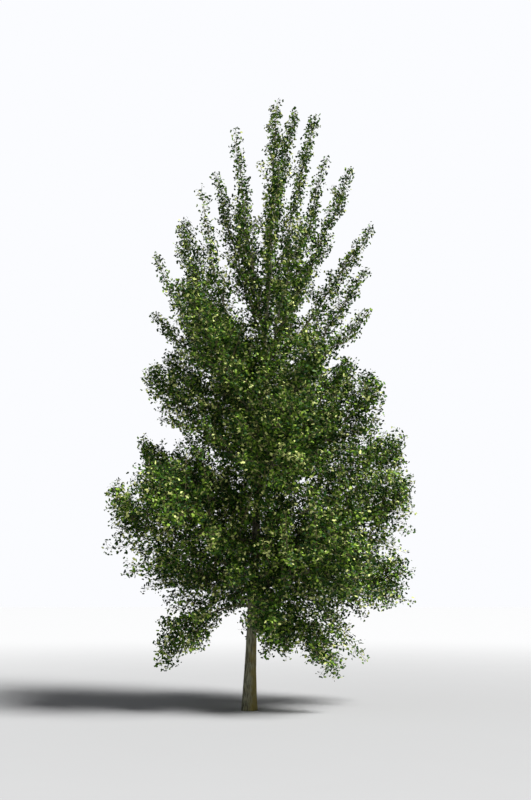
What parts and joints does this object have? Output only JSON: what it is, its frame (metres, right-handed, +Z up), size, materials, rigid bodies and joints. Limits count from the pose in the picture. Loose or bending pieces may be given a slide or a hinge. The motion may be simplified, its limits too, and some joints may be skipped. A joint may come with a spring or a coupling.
{
  "type": "ginkgo tree",
  "caption": "Young ginkgo tree in summer leaf, rooted in the ground, with a leaning tapered trunk, rising boughs and an open pointed crown of leafy shoots.",
  "frame": {"origin": "centre of the flat cut under the trunk, at ground level", "axes": "+Z up the tree, -Y towards the viewer of the picture (front), +X to the right of the front view"},
  "size_m": [5.1103, 4.3013, 10.3999],
  "materials": {
    "bark": "rough furrowed grey-brown living bark",
    "leaves": "mid and dark green summer leaves with a soft sheen, on slim grey-brown twigs"
  },
  "bodies": {
    "root": {"bough_back_1": "bark", "bough_back_2": "bark", "bough_back_3": "bark", "bough_front_1": "bark", "bough_front_2": "bark", "bough_front_3": "bark", "bough_left_1": "bark", "bough_left_2": "bark", "bough_left_3": "bark", "bough_left_4": "bark", "bough_low_1": "bark", "bough_low_2": "bark", "bough_right_1": "bark", "bough_right_2": "bark", "bough_right_3": "bark", "bough_right_4": "bark", "bough_right_5": "bark", "foliage_back_1": "leaves", "foliage_back_2": "leaves", "foliage_back_3": "leaves", "foliage_back_4": "leaves", "foliage_back_5": "leaves", "foliage_back_6": "leaves", "foliage_back_7": "leaves", "foliage_front_1": "leaves", "foliage_front_2": "leaves", "foliage_front_3": "leaves", "foliage_front_4": "leaves", "foliage_front_5": "leaves", "foliage_front_6": "leaves", "foliage_front_7": "leaves", "foliage_leader": "leaves", "foliage_left_1": "leaves", "foliage_left_10": "leaves", "foliage_left_11": "leaves", "foliage_left_12": "leaves", "foliage_left_2": "leaves", "foliage_left_3": "leaves", "foliage_left_4": "leaves", "foliage_left_5": "leaves", "foliage_left_6": "leaves", "foliage_left_7": "leaves", "foliage_left_8": "leaves", "foliage_left_9": "leaves", "foliage_low_1": "leaves", "foliage_low_2": "leaves", "foliage_right_1": "leaves", "foliage_right_10": "leaves", "foliage_right_11": "leaves", "foliage_right_12": "leaves", "foliage_right_13": "leaves", "foliage_right_2": "leaves", "foliage_right_3": "leaves", "foliage_right_4": "leaves", "foliage_right_5": "leaves", "foliage_right_6": "leaves", "foliage_right_7": "leaves", "foliage_right_8": "leaves", "foliage_right_9": "leaves", "trunk": "bark"}
  },
  "joints": []
}
